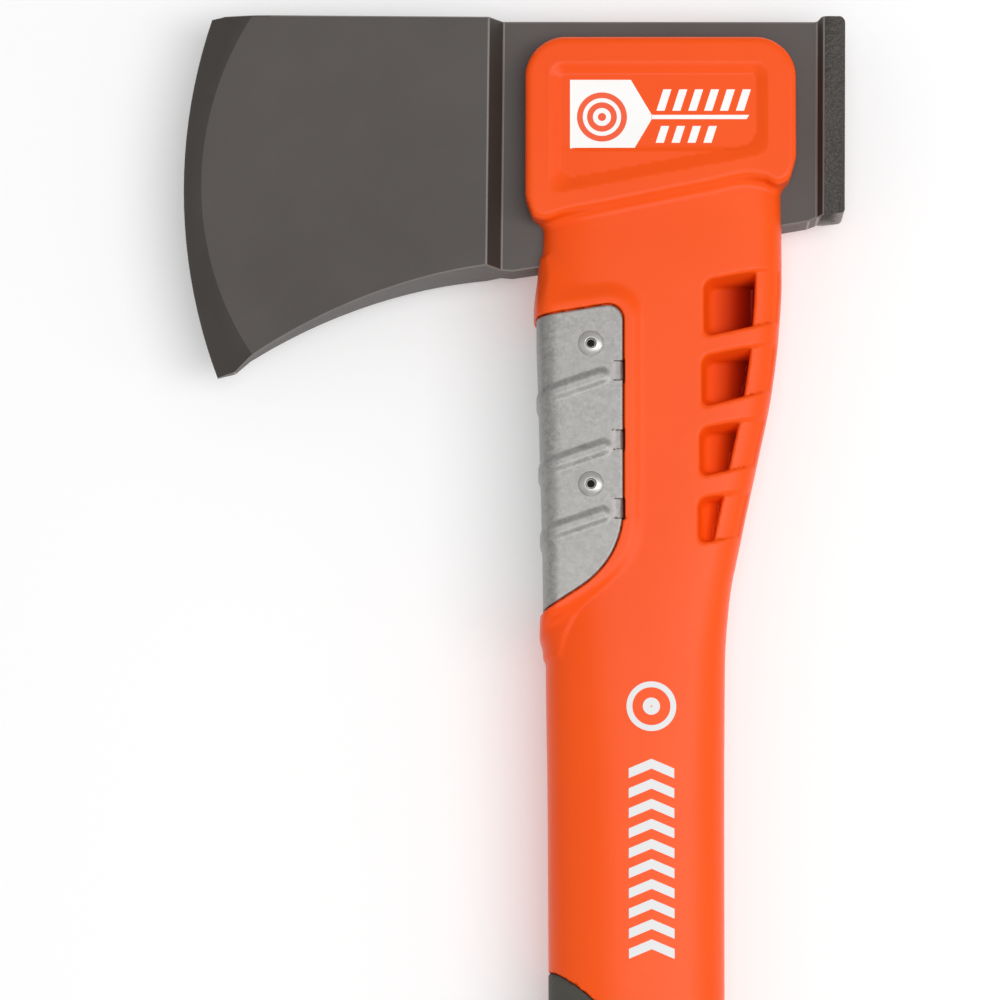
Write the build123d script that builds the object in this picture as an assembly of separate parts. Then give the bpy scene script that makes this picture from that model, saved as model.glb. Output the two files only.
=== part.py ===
from build123d import *
import math
import os

# Felling axe lying on its side, millimetres.
# +Y runs from the butt to the top of the head, +X from the cutting edge to the poll, +Z up.
# Shapes are drawn about the mid-plane of the axe and lifted onto the table when they are written.

# ---- overall ----
TOP_Y = 301.0                 # highest point of the head
TOTAL_LENGTH = 600.0
BUTT_Y = TOP_Y - TOTAL_LENGTH
KNOB_HALF_THICK = 17.0        # the thickest point, so also the height of the mid-plane

# ---- forged head ----
EDGE_CENTRE = (47.46, 257.4)
EDGE_RADIUS = 133.8
POLL_X = 85.6
EDGE_FLAT = 0.15              # half thickness left at the cutting edge
BEVEL_ANGLE = 20.0            # half angle of the ground bevel
CHEEK_HALF_AT_EDGE = 1.15     # wedge face carried on to the edge line
SHOULDER_X = -7.2
SHOULDER_HALF = 12.9
STEP_X = -3.5
PLATE_HALF = 6.4
POLL_FOOT_X = 77.3
POLL_RISE_X = 79.6
POLL_HALF = 8.9
POLL_ROUND = 1.5
HEAD_LEAN = -0.5              # degrees, the shoulder and poll lean towards the poll at the top
BEARD_CENTRE = (10.2, 85.0)
BEARD_RADIUS = 150.6
EYE_WIDTH = 48.0
EYE_HEIGHT = 28.0
EYE_CENTRE = (37.5, 271.0)
EYE_CORNER = 6.0
SMALL_EYE_RADIUS = 3.0        # two round keys beside the eye
SMALL_EYES = ((8.0, 262.0), (67.0, 279.0))

# ---- moulded handle: station y, left x, right x, half thickness, squareness of the section ----
STATIONS = (
    (263.0, 7.4, 68.7, 13.2, 4.4),
    (246.0, 7.1, 69.0, 13.3, 4.4),
    (232.0, 6.6, 69.0, 13.4, 4.4),
    (217.0, 6.4, 68.1, 13.4, 4.4),
    (202.0, 6.85, 66.2, 13.4, 4.3),
    (185.0, 7.3, 62.7, 13.4, 4.1),
    (166.0, 7.8, 58.6, 13.5, 3.8),
    (148.0, 8.1, 55.2, 13.6, 3.4),
    (133.0, 7.95, 54.1, 13.7, 3.0),
    (98.0, 8.4, 53.8, 13.8, 2.6),
    (46.0, 8.7, 53.7, 13.9, 2.5),
    (-20.0, 9.0, 53.2, 14.1, 2.4),
    (-95.0, 9.8, 52.4, 14.6, 2.4),
    (-170.0, 10.6, 51.6, 14.8, 2.4),
    (-225.0, 9.8, 51.4, 14.9, 2.4),
    (-256.0, 5.4, 53.0, 15.9, 2.5),
    (-276.0, -1.2, 55.6, KNOB_HALF_THICK, 2.6),
    (-289.0, -2.4, 55.2, 16.8, 2.7),
    (-296.0, 0.2, 52.8, 15.0, 2.7),
    (BUTT_Y, 4.6, 48.4, 11.0, 2.7),
)
SECTION_POINTS = 36
WALL = 4.0                    # moulding wall around the hollow
HOLLOW_TOP = 132.0
HOLLOW_LOW = -262.0

# ---- cheek pads over the head ----
PAD_HALF = 15.2
PAD_EDGE_ROUND = 1.9
PAD_CORNER = 10.5
PAD_LOW_CORNER = 3.2
PANEL_DEPTH = 1.3

# ---- raised frame around the guard ----
FRAME_HALF = 14.5
FRAME_SIDE = 1.5
FRAME_FACE = 2.7
FRAME_TOP_WIDTH = 2.5
FRAME_FOOT_WIDTH = 5.5
FRAME_FOOT_HALF = 13.2

# ---- overstrike guard ----
GUARD_HALF = 14.0
GUARD_SIDE = 0.9
GUARD_FACE = 2.1
GUARD_SQUARENESS = 5.0
SHEET = 1.2
GUARD_GAP = 0.35
GUARD_RIGHT = 27.7
GUARD_CORNER_X = 5.6          # where the slanting top and bottom edges meet the front fold
GUARD_TOP_Y = 221.2
GUARD_TOP_SLOPE = 0.165
GUARD_TOP_ROUND = 4.6
GUARD_LOW_Y = 144.2
GUARD_LOW_SLOPE = 0.642
GUARD_LOW_ROUND = 15.0
BEAD_ENDS = ((22.3, 205.6), (22.8, 187.2), (22.6, 169.8))
BEAD_SLOPE = 18.7
BEAD_LENGTH = 34.0
BEAD_HALF_WIDTH = 1.75
BEAD_HEIGHT = 0.8
TAB_ROWS = (207.1, 189.2, 171.4)
TAB_LENGTH = 5.0
TAB_LOW = 10.4
TAB_THICK = 1.2
TAB_ROUND = 1.0
SLOT_GAP = 0.3
SLOT_REACH = 1.1

# ---- blind rivets ----
RIVET_SPOTS = ((19.5, 214.1), (19.5, 177.7))
RIVET_DOME_RADIUS = 3.25
RIVET_DOME_HEIGHT = 1.0
RIVET_SHANK_RADIUS = 1.6
RIVET_LENGTH = 8.0
MANDREL_RADIUS = 0.95
MANDREL_SINK = 0.8

# ---- windows at the back of the neck: left x, then top and bottom edge at the left and at the right ----
WINDOWS = (
    (48.5, 230.6, 234.6, 215.9, 219.7),
    (47.9, 210.9, 215.2, 197.6, 202.2),
    (47.3, 192.2, 196.6, 179.6, 183.6),
    (46.8, 174.2, 178.4, 162.3, 165.8),
)
WINDOW_RIGHT = 66.5           # x where the right-hand values above are taken
WINDOW_REACH = 80.0
WINDOW_CORNER = 2.1
WINDOW_WALL = 1.6             # how far the sloping walls step in down to the floor
FLOOR_LEFT = (46.0, 10.0)
FLOOR_RIGHT = (66.0, 4.6)
SPINE_HALF_WIDTH = 4.0
SPINE_HALF_THICK = 11.6
SPINE_SQUARENESS = 2.5
SPINE_PROUD = 0.45
SPINE_RANGE = (154.0, 240.0)

# ---- soft grip and butt ----
GRIP_THICK = 1.6
GRIP_FRONT = ((-12.0, 55.0), (8.8, 53.2), (15.0, 50.0), (19.2, 46.7), (31.0, 35.5), (45.0, 27.0), (74.0, 22.5))
GRIP_LOW = -252.0
HANG_HOLE = (7.6, -281.0)
HANG_HOLE_RADIUS = 4.5
PLUG_CENTRE = 31.0
PLUG_HALF_WIDTH = 12.0
PLUG_HALF_THICK = 5.6
PLUG_LENGTH = 14.0
PLUG_LIP = 1.4
PLUG_LIP_THICK = 2.0

# ---- where the origin sits: middle of the table side of the whole axe ----
MIDDLE_X = (EDGE_CENTRE[0] - EDGE_RADIUS + POLL_X) / 2
MIDDLE_Y = TOP_Y - TOTAL_LENGTH / 2


def prism(outline, low, high):
    """Upright prism from an outline between two heights."""
    return Pos(0, 0, low) * extrude(outline, amount=high - low, dir=(0, 0, 1))


def both_sides(solid):
    """A solid on the upper face together with its mirror image on the lower face."""
    return solid + mirror(solid, about=Plane.XY)


def station_outline(y, left, right, half, power, side, face):
    """One superellipse section across the handle, grown sideways and in thickness."""
    a = (right - left) / 2 + side
    b = half + face
    points = []
    for k in range(SECTION_POINTS):
        t = 2 * math.pi * k / SECTION_POINTS
        c = math.cos(t)
        s = math.sin(t)
        r = ((abs(c) / a) ** power + (abs(s) / b) ** power) ** (-1 / power)
        points.append((r * c, r * s))
    place = Plane(origin=((left + right) / 2, y, 0), x_dir=(1, 0, 0), z_dir=(0, -1, 0))
    return place * make_face(Spline(*points, periodic=True))


def handle_body(side=0.0, face=0.0, power=None, top=None, low=None):
    """The handle lofted between its stations, optionally grown or shrunk all round."""
    faces = []
    for y, left, right, half, n in STATIONS:
        if top is not None and y > top:
            continue
        if low is not None and y < low:
            continue
        faces.append(station_outline(y, left, right, half, power or n, side, face))
    return loft(faces)


def edge_point(y):
    """Point of the cutting edge at a given height."""
    dx = math.sqrt(EDGE_RADIUS ** 2 - (y - EDGE_CENTRE[1]) ** 2)
    return (EDGE_CENTRE[0] - dx, y)


def beard_point(x):
    """Point of the hollow curve under the blade."""
    dy = math.sqrt(BEARD_RADIUS ** 2 - (x - BEARD_CENTRE[0]) ** 2)
    return (x, BEARD_CENTRE[1] + dy)


def head_outline():
    """Outline of the head seen from its side."""
    toe = edge_point(300.3)
    middle = edge_point(EDGE_CENTRE[1])
    heel = edge_point(208.6)
    lines = Polyline(
        toe, (-75.8, TOP_Y), (-64.0, TOP_Y), (SHOULDER_X, 299.8), (POLL_FOOT_X, 299.7), (79.4, 300.7), (84.0, 300.7)
    )
    lines += ThreePointArc((84.0, 300.7), (85.15, 300.2), (85.6, 299.0))
    lines += Polyline((85.6, 299.0), (85.2, 250.6))
    lines += ThreePointArc((85.2, 250.6), (84.9, 249.4), (83.8, 249.0))
    lines += Polyline((83.8, 249.0), (77.6, 248.2), (76.0, 247.1), (6.7, 235.1), (-0.8, 234.0), beard_point(-7.4))
    lines += ThreePointArc(beard_point(-7.4), beard_point(-38.0), beard_point(-68.7))
    lines += Polyline(beard_point(-68.7), (-72.6, 209.8), heel)
    lines += ThreePointArc(heel, middle, toe)
    return make_face(lines)


def thickness_profile():
    """Section of the head from the edge to the poll, seen along the handle."""
    start = edge_point(EDGE_CENTRE[1])[0] - 2
    slope = (SHOULDER_HALF - CHEEK_HALF_AT_EDGE) / (SHOULDER_X - start - 2)
    upper = [
        (start, CHEEK_HALF_AT_EDGE - 2 * slope),
        (SHOULDER_X, SHOULDER_HALF),
        (STEP_X, PLATE_HALF),
        (POLL_FOOT_X, PLATE_HALF),
        (POLL_RISE_X, POLL_HALF),
        (POLL_X - POLL_ROUND, POLL_HALF),
        (POLL_X + 1.0, POLL_HALF - POLL_ROUND),
    ]
    lower = [(x, -z) for x, z in reversed(upper)]
    return make_face(Plane.XZ * Polyline(*upper, *lower, close=True))


def axe_head():
    """Forged head: wedge blade, shoulder, thin plate inside the moulding, poll."""
    side = prism(head_outline(), -20, 20)
    edge_on = extrude(thickness_profile(), amount=400, both=True)
    pivot = (0, 250, 0)
    edge_on = Pos(*pivot) * Rot(0, 0, HEAD_LEAN) * Pos(0, -250, 0) * edge_on
    reach = 20.0
    cut_in = reach / math.tan(math.radians(BEVEL_ANGLE))
    half = [(0, -reach), (EDGE_RADIUS - cut_in, -reach), (EDGE_RADIUS, -EDGE_FLAT)]
    half += [(EDGE_RADIUS, EDGE_FLAT), (EDGE_RADIUS - cut_in, reach), (0, reach)]
    cone = revolve(make_face(Plane.XZ * Polyline(*half, close=True)), Axis.Z)
    head = side & edge_on & (Pos(EDGE_CENTRE[0], EDGE_CENTRE[1], 0) * cone)
    eye = Pos(*EYE_CENTRE) * RectangleRounded(EYE_WIDTH, EYE_HEIGHT, EYE_CORNER)
    head -= prism(eye, -20, 20)
    for spot in SMALL_EYES:
        head -= prism(Pos(*spot) * Circle(SMALL_EYE_RADIUS), -20, 20)
    return head


def pad_outline():
    """Outline of the cheek pads that cover the plate of the head."""
    corners = [(2.6, 294.3), (72.5, 294.3), (72.5, 261.5), (68.0, 256.0), (62.7, 257.8), (12.6, 247.7)]
    corners += [(6.6, 245.8), (2.6, 252.5)]
    face = make_face(Polyline(*corners, close=True))
    high = [v for v in face.vertices() if v.Y > 290]
    face = fillet(high, PAD_CORNER)
    low = [v for v in face.vertices() if v.Y < 262 and (v.X < 10 or v.X > 66)]
    return fillet(low, PAD_LOW_CORNER)


def panel(corners, radius, z):
    """One level of the recessed panel on a cheek pad."""
    face = make_face(Polyline(*corners, close=True))
    return Pos(0, 0, z) * fillet(face.vertices(), radius)


def panel_cut():
    """Recess with sloping walls on the upper cheek."""
    floor = panel([(12.9, 284.8), (62.3, 284.8), (62.3, 266.5), (12.9, 257.3)], 1.2, PAD_HALF - PANEL_DEPTH)
    rim = panel([(8.6, 287.6), (65.6, 287.6), (65.6, 263.4), (8.6, 252.7)], 4.2, PAD_HALF + 0.02)
    return loft([floor, rim])


def guard_outline(gap=0.0):
    """Outline of the guard on the broad face, open past the front of the handle, grown by a gap."""
    right = GUARD_RIGHT + gap
    low = gap / math.cos(math.atan(GUARD_LOW_SLOPE))
    high_y = GUARD_TOP_Y + gap + GUARD_TOP_SLOPE * (right - GUARD_CORNER_X)
    low_y = GUARD_LOW_Y - low + GUARD_LOW_SLOPE * (right - GUARD_CORNER_X)
    corners = [(-12.0, GUARD_TOP_Y + gap), (GUARD_CORNER_X, GUARD_TOP_Y + gap), (right, high_y)]
    corners += [(right, low_y), (GUARD_CORNER_X, GUARD_LOW_Y - low), (-12.0, GUARD_LOW_Y - low)]
    face = make_face(Polyline(*corners, close=True))
    tight = [v for v in face.vertices() if v.X > GUARD_RIGHT - 1 and v.Y > 200]
    face = fillet(tight, GUARD_TOP_ROUND + gap)
    wide = [v for v in face.vertices() if v.X > GUARD_RIGHT - 1 and v.Y < GUARD_LOW_Y + 25]
    return fillet(wide, GUARD_LOW_ROUND + gap)


def envelope(side, face, half):
    """Square-shouldered body around the neck, flattened to a half thickness on both faces."""
    body = handle_body(side, face, GUARD_SQUARENESS, 240, 120)
    return body & (Pos(30, 180, 0) * Box(140, 260, 2 * half))


def raised_frame():
    """Raised frame that surrounds the guard, its sides sloping down to the neck."""
    foot = guard_outline(FRAME_FOOT_WIDTH)
    slope = loft([Pos(0, 0, FRAME_FOOT_HALF) * foot, Pos(0, 0, FRAME_HALF) * guard_outline(FRAME_TOP_WIDTH)])
    stack = prism(foot, -FRAME_FOOT_HALF, FRAME_FOOT_HALF) + both_sides(slope)
    return stack & envelope(FRAME_SIDE, FRAME_FACE, FRAME_HALF)


def bead(end):
    """Raised bead that runs across both faces and over the front of the guard."""
    along = Rot(0, 0, BEAD_SLOPE) * Pos(-BEAD_LENGTH / 2, 0, 0)
    slot = SlotCenterToCenter(BEAD_LENGTH, 2 * BEAD_HALF_WIDTH)
    return prism(Pos(*end) * along * slot, -20, 20)


def tab(y, gap=0.0):
    """Tab bent down from the guard into the moulding, or the slot for it when grown by a gap."""
    low = TAB_LOW - gap
    height = GUARD_HALF - low
    length = TAB_LENGTH + 2 * gap
    block = Pos(GUARD_RIGHT - TAB_THICK / 2, y, low + height / 2) * Box(TAB_THICK + 2 * gap, length, height)
    if gap:
        return block + Pos(SLOT_REACH / 2, 0, 0) * block
    corner = [e for e in block.edges().filter_by(Axis.Y) if e.center().X > GUARD_RIGHT - 0.1 and e.center().Z > 12]
    return fillet(corner, TAB_ROUND)


def overstrike_guard(outer, inner):
    """Bent sheet guard with beads, tabs and rivet holes."""
    sheet = (outer - inner) & prism(guard_outline(), -20, 20)
    raised = envelope(GUARD_SIDE + BEAD_HEIGHT, GUARD_FACE + BEAD_HEIGHT, GUARD_HALF + BEAD_HEIGHT) - inner
    for end in BEAD_ENDS:
        sheet += raised & bead(end)
    for y in TAB_ROWS:
        sheet += both_sides(tab(y))
    for spot in RIVET_SPOTS:
        sheet -= prism(Pos(*spot) * Circle(RIVET_SHANK_RADIUS), -20, 20)
    return sheet


def rivet(spot, up):
    """Domed blind rivet on one face; up is 1 or -1."""
    ball = (RIVET_DOME_RADIUS ** 2 + RIVET_DOME_HEIGHT ** 2) / (2 * RIVET_DOME_HEIGHT)
    rim = math.sqrt(ball ** 2 - MANDREL_RADIUS ** 2) - ball + RIVET_DOME_HEIGHT
    middle_r = RIVET_DOME_RADIUS * 0.62
    middle_z = math.sqrt(ball ** 2 - middle_r ** 2) - ball + RIVET_DOME_HEIGHT
    lines = Polyline((MANDREL_RADIUS, rim), (MANDREL_RADIUS, -RIVET_LENGTH), (RIVET_SHANK_RADIUS, -RIVET_LENGTH))
    lines += Polyline((RIVET_SHANK_RADIUS, -RIVET_LENGTH), (RIVET_SHANK_RADIUS, 0), (RIVET_DOME_RADIUS, 0))
    lines += ThreePointArc((RIVET_DOME_RADIUS, 0), (middle_r, middle_z), (MANDREL_RADIUS, rim))
    body = revolve(make_face(Plane.XZ * lines), Axis.Z)
    placed = Pos(spot[0], spot[1], GUARD_HALF) * body
    return placed if up > 0 else mirror(placed, about=Plane.XY)


def mandrel(spot, up):
    """Broken mandrel left inside a blind rivet."""
    stub = Cylinder(MANDREL_RADIUS, RIVET_LENGTH - MANDREL_SINK, align=(Align.CENTER, Align.CENTER, Align.MAX))
    placed = Pos(spot[0], spot[1], GUARD_HALF - MANDREL_SINK) * stub
    return placed if up > 0 else mirror(placed, about=Plane.XY)


def window_face(row, inset):
    """One window outline, stepped in by an inset."""
    left, top_left, top_right, low_left, low_right = row
    reach = WINDOW_REACH
    run = WINDOW_RIGHT - left
    top_slope = (top_right - top_left) / run
    low_slope = (low_right - low_left) / run
    corners = [
        (left + inset, top_left - inset + top_slope * inset),
        (reach, top_left - inset + top_slope * (reach - left)),
        (reach, low_left + inset + low_slope * (reach - left)),
        (left + inset, low_left + inset + low_slope * inset),
    ]
    face = make_face(Polyline(*corners, close=True))
    rounded = [v for v in face.vertices() if v.X < reach - 1]
    return fillet(rounded, WINDOW_CORNER)


def windows():
    """Sloping-walled cuts for the row of windows, both faces, stopping at a tilted floor."""
    cuts = None
    for row in WINDOWS:
        low = Pos(0, 0, 3.0) * window_face(row, WINDOW_WALL)
        high = Pos(0, 0, 17.0) * window_face(row, -0.4)
        cut = loft([low, high])
        cuts = cut if cuts is None else cuts + cut
    x0, z0 = FLOOR_LEFT
    x1, z1 = FLOOR_RIGHT
    tilt = (z1 - z0) / (x1 - x0)
    near = z0 + tilt * (30 - x0)
    far = z0 + tilt * (WINDOW_REACH + 5 - x0)
    web = make_face(Plane.XZ * Polyline((30, near), (WINDOW_REACH + 5, max(far, 0.6)), (WINDOW_REACH + 5, -5), (30, -5), close=True))
    floor = Pos(0, 200, 0) * extrude(web, amount=100, both=True)
    return both_sides(cuts - floor)


def right_side(y):
    """Right-hand edge of the handle at a height, read between the stations."""
    for (y0, _, x0, _, _), (y1, _, x1, _, _) in zip(STATIONS, STATIONS[1:]):
        if y1 <= y <= y0:
            return x1 + (x0 - x1) * (y - y1) / (y0 - y1)
    return STATIONS[0][2]


def spine():
    """Rounded bar along the back of the neck, seen through the windows."""
    low, high = SPINE_RANGE
    faces = []
    for k in range(9):
        y = high + (low - high) * k / 8
        centre = right_side(y) + SPINE_PROUD - SPINE_HALF_WIDTH
        left = centre - SPINE_HALF_WIDTH
        right = centre + SPINE_HALF_WIDTH
        faces.append(station_outline(y, left, right, SPINE_HALF_THICK, SPINE_SQUARENESS, 0, 0))
    return loft(faces)


def grip_region():
    """Outline of the soft grip on the broad face, with its slanting front edge."""
    front = Spline(*GRIP_FRONT)
    start = GRIP_FRONT[0]
    end = GRIP_FRONT[-1]
    rest = Polyline(end, (end[0], GRIP_LOW), (start[0], GRIP_LOW), start)
    return prism(make_face(front + rest), -30, 30)


def hollow():
    """Hollow of the shaft and the mouth for the plug."""
    room = Pos(30, (HOLLOW_TOP + HOLLOW_LOW) / 2, 0) * Box(140, HOLLOW_TOP - HOLLOW_LOW, 60)
    inside = handle_body(-WALL, -WALL) & room
    mouth = Plane.XZ * Pos(PLUG_CENTRE, 0, 0) * Ellipse(PLUG_HALF_WIDTH, PLUG_HALF_THICK)
    bore = Pos(0, BUTT_Y, 0) * extrude(mouth, amount=HOLLOW_LOW - BUTT_Y + 4, dir=(0, 1, 0))
    return inside + bore + plug_lip()


def plug_lip():
    """Flush head of the butt plug."""
    lip = Plane.XZ * Pos(PLUG_CENTRE, 0, 0) * Ellipse(PLUG_HALF_WIDTH + PLUG_LIP, PLUG_HALF_THICK + PLUG_LIP)
    return Pos(0, BUTT_Y, 0) * extrude(lip, amount=PLUG_LIP_THICK, dir=(0, 1, 0))


def butt_plug():
    """Plug that closes the hollow handle."""
    stem = Plane.XZ * Pos(PLUG_CENTRE, 0, 0) * Ellipse(PLUG_HALF_WIDTH, PLUG_HALF_THICK)
    return plug_lip() + Pos(0, BUTT_Y, 0) * extrude(stem, amount=PLUG_LENGTH, dir=(0, 1, 0))


def moulding(head, whole, guard_inner):
    """Handle moulding with pads, frame, windows, guard space, grip recess and hollow."""
    pad = prism(pad_outline(), -PAD_HALF, PAD_HALF)
    rim = [e for e in pad.edges() if abs(abs(e.center().Z) - PAD_HALF) < 0.01]
    pad = fillet(rim, PAD_EDGE_ROUND)
    body = whole - windows()
    body += spine()
    body += raised_frame()
    body += pad
    body -= both_sides(panel_cut())
    body -= prism(guard_outline(GUARD_GAP), -30, 30) - guard_inner
    for y in TAB_ROWS:
        body -= both_sides(tab(y, SLOT_GAP))
    for spot in RIVET_SPOTS:
        hole = prism(Pos(*spot) * Circle(RIVET_SHANK_RADIUS), GUARD_HALF - RIVET_LENGTH, 20)
        body -= both_sides(hole)
    body -= head
    body -= grip_region() - handle_body(-GRIP_THICK, -GRIP_THICK)
    body -= hollow()
    body -= prism(Pos(*HANG_HOLE) * Circle(HANG_HOLE_RADIUS), -30, 30)
    return body


def soft_grip(whole):
    """Elastomer sleeve over the lower shaft."""
    return (whole & grip_region()) - handle_body(-GRIP_THICK, -GRIP_THICK)


def write(shape, name):
    """Lift a piece onto the table, centre it on the origin and save it."""
    placed = Pos(-MIDDLE_X, -MIDDLE_Y, KNOB_HALF_THICK) * shape
    export_step(placed, "parts/" + name + ".step")


def main():
    os.makedirs("parts", exist_ok=True)
    head = axe_head()
    whole = handle_body() & (Pos(30, 0, 0) * Box(200, 800, 2 * KNOB_HALF_THICK))
    guard_outer = envelope(GUARD_SIDE, GUARD_FACE, GUARD_HALF)
    guard_inner = envelope(GUARD_SIDE - SHEET, GUARD_FACE - SHEET, GUARD_HALF - SHEET)
    write(head, "axe_head")
    write(moulding(head, whole, guard_inner), "handle_body")
    write(overstrike_guard(guard_outer, guard_inner), "overstrike_guard")
    write(soft_grip(whole), "soft_grip")
    write(butt_plug(), "butt_plug")
    number = 1
    for up in (1, -1):
        for spot in RIVET_SPOTS:
            write(rivet(spot, up), "rivet_" + str(number))
            write(mandrel(spot, up), "rivet_mandrel_" + str(number))
            number += 1


main()
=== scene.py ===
"""Felling axe lying flat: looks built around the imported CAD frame. Lengths in the tables are millimetres."""
import math

import bmesh
import bpy
import numpy as np
from mathutils import Matrix, Vector


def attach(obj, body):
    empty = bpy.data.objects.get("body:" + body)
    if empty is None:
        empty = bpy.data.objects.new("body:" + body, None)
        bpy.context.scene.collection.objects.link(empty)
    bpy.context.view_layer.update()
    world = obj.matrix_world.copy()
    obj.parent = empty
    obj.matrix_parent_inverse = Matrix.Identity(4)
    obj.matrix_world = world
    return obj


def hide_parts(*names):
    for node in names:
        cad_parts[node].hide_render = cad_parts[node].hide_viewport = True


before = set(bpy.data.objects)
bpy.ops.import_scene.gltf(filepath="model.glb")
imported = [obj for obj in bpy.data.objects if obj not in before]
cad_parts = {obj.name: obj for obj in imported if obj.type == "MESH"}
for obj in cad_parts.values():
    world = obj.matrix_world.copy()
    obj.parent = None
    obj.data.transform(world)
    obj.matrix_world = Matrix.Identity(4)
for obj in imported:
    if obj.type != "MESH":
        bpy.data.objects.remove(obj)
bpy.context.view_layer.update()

MM = 0.001
MIDDLE_X = -0.37
MIDDLE_Y = 1.0
MID_HEIGHT = 17.0             # height of the axe's mid-plane over the table

# ---- moulded handle: station y, left x, right x, half thickness, squareness ----
STATIONS = (
    (263.0, 7.4, 68.7, 13.2, 4.4), (246.0, 7.1, 69.0, 13.3, 4.4), (232.0, 6.6, 69.0, 13.4, 4.4),
    (217.0, 6.4, 68.1, 13.4, 4.4), (202.0, 6.85, 66.2, 13.4, 4.3), (185.0, 7.3, 62.7, 13.4, 4.1),
    (166.0, 7.8, 58.6, 13.5, 3.8), (148.0, 8.1, 55.2, 13.6, 3.4), (133.0, 7.95, 54.1, 13.7, 3.0),
    (98.0, 8.4, 53.8, 13.8, 2.6), (46.0, 8.7, 53.7, 13.9, 2.5), (-20.0, 9.0, 53.2, 14.1, 2.4),
    (-95.0, 9.8, 52.4, 14.6, 2.4), (-170.0, 10.6, 51.6, 14.8, 2.4), (-225.0, 9.8, 51.4, 14.9, 2.4),
    (-256.0, 5.4, 53.0, 15.9, 2.5), (-276.0, -1.2, 55.6, 16.9, 2.6), (-289.0, -2.4, 55.2, 16.8, 2.7),
    (-296.0, 0.2, 52.8, 15.0, 2.7), (-299.0, 4.6, 48.4, 11.0, 2.7),
)
BUTT_Y = -299.0
BUTT_ROUND = 3.0
NECK_TOP = 263.0              # under the cheek pads, so out of sight

# ---- cheek pads and the recessed panel in them ----
PAD_HALF = 15.2
PAD_ROUND = 2.0
PAD_LEFT, PAD_RIGHT, PAD_TOP = 2.6, 72.5, 294.3
PAD_TOP_CORNER, PAD_FOOT_CORNER = 10.5, 3.0
PAD_FOOT = (
    (-20.0, 251.5), (2.6, 250.5), (4.8, 247.0), (7.6, 246.2), (12.6, 247.7), (20.0, 249.2), (50.0, 255.3),
    (60.0, 257.2), (64.0, 256.8), (67.4, 255.4), (70.4, 256.6), (72.6, 260.5), (90.0, 264.0),
)
PAD_FILLET = 2.6              # where a pad meets the neck
PANEL_DEPTH = 1.3
PANEL_SLOPE = 3.3
PANEL_LEFT, PANEL_RIGHT, PANEL_TOP = 8.6, 65.4, 287.6
PANEL_LOW_Y, PANEL_LOW_SLOPE, PANEL_LOW_LENGTH = 252.7, 0.188, 1.0175
PANEL_TOP_CORNER, PANEL_LOW_CORNER = 4.2, 4.0

# ---- raised frame around the guard ----
FRAME_HALF = 14.5
FRAME_SIDE = 1.5
FRAME_FACE = 2.7
FRAME_TOP_WIDTH = 2.5
FRAME_FOOT_WIDTH = 5.5
FRAME_FOOT_HALF = 13.2
FRAME_FLARE = (223.5, 236.0)          # the frame's side fades into the neck between these heights
FRAME_LIP = (135.0, 139.5)            # and into the shaft between these
FRAME_TOP_Y, FRAME_LOW_Y, FRAME_RIGHT = 236.5, 134.5, 40.0

# ---- sheet guard ----
GUARD_HALF = 14.0
GUARD_SIDE = 0.9
GUARD_FACE = 2.1
GUARD_SQUARENESS = 6.0
SHEET = 1.2
GUARD_GAP = 0.35
GUARD_RIGHT = 27.7
GUARD_CORNER_X = 5.6
GUARD_TOP_Y = 221.2
GUARD_TOP_SLOPE = 0.165
GUARD_TOP_ROUND = 4.6
GUARD_LOW_Y = 144.2
GUARD_LOW_SLOPE = 0.642
GUARD_LOW_ROUND = 13.0
POCKET_EDGE_ROUND = 0.35
BEAD_ENDS = ((22.3, 205.6), (22.8, 187.2), (22.6, 169.8))
BEAD_SLOPE = math.radians(18.7)
BEAD_HALF_WIDTH = 2.3
BEAD_HEIGHT = 0.5
TAB_ROWS = (207.1, 189.2, 171.4)
TAB_HALF_LENGTH = 2.5
TAB_LEAN = 22.0               # degrees a tab slopes down to its rolled end
TAB_FOOT_X, TAB_BEND_X, TAB_TIP_X = 25.0, 25.3, 27.85
TAB_LOW_HALF = 9.6
SLOT_X, SLOT_HALF_WIDTH, SLOT_SPARE, SLOT_LOW_HALF = 27.3, 0.95, 0.45, 9.0    # slots the tabs go down into
RIVET_SPOTS = ((19.5, 214.1), (19.5, 177.7))
DOME_RADIUS = 3.25
DOME_HEIGHT = 1.0
RIVET_SKIRT = 1.8
PIN_SUNK = 0.35               # how far a pin's middle lies under the sheet's face

# ---- forged head ----
EDGE_ROUND = 0.35
HARD_ANGLE = math.radians(16)         # edges sharper than this get a round
FLAT_ANGLE = math.radians(0.1)
EDGE_CENTRE = (47.46, 257.4)
BLADE_FLARE_X = -20.0         # from here to the edge the blade is drawn out upwards and downwards
BLADE_RISE = 1.2
BLADE_DROP = -1.7
BLADE_FLARE_RUN = 55.0
BLADE_LOW_Y, BLADE_TALL = 209.0, 91.0
POLL_STEP_X, POLL_STEP_HALF = 77.4, 7.5       # foot of the step up to the poll
POLL_STEP_MOVE = 0.7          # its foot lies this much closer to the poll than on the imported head
POLL_FACE_X = 83.5            # edges beyond it stay sharp
HAMMERED_X = 80.0
# the ground bevel found by these three is coloured darker as painted shade
BEVEL_RADIUS = 122            # the ground bevel lies outside this radius about EDGE_CENTRE
BEVEL_RIGHT = -0.06           # metres in the frame
BEVEL_TILT = (0.88, 0.975)
# faces tilted within this span get the darker step coat, a painted shade
SHADED_STEP_TILT = (0.1, 0.93)
BLADE_SLOT, BEVEL_SHADE_SLOT, POLL_SLOT, EDGE_HIGHLIGHT_SLOT, STEP_SHADE_SLOT = range(5)

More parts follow.
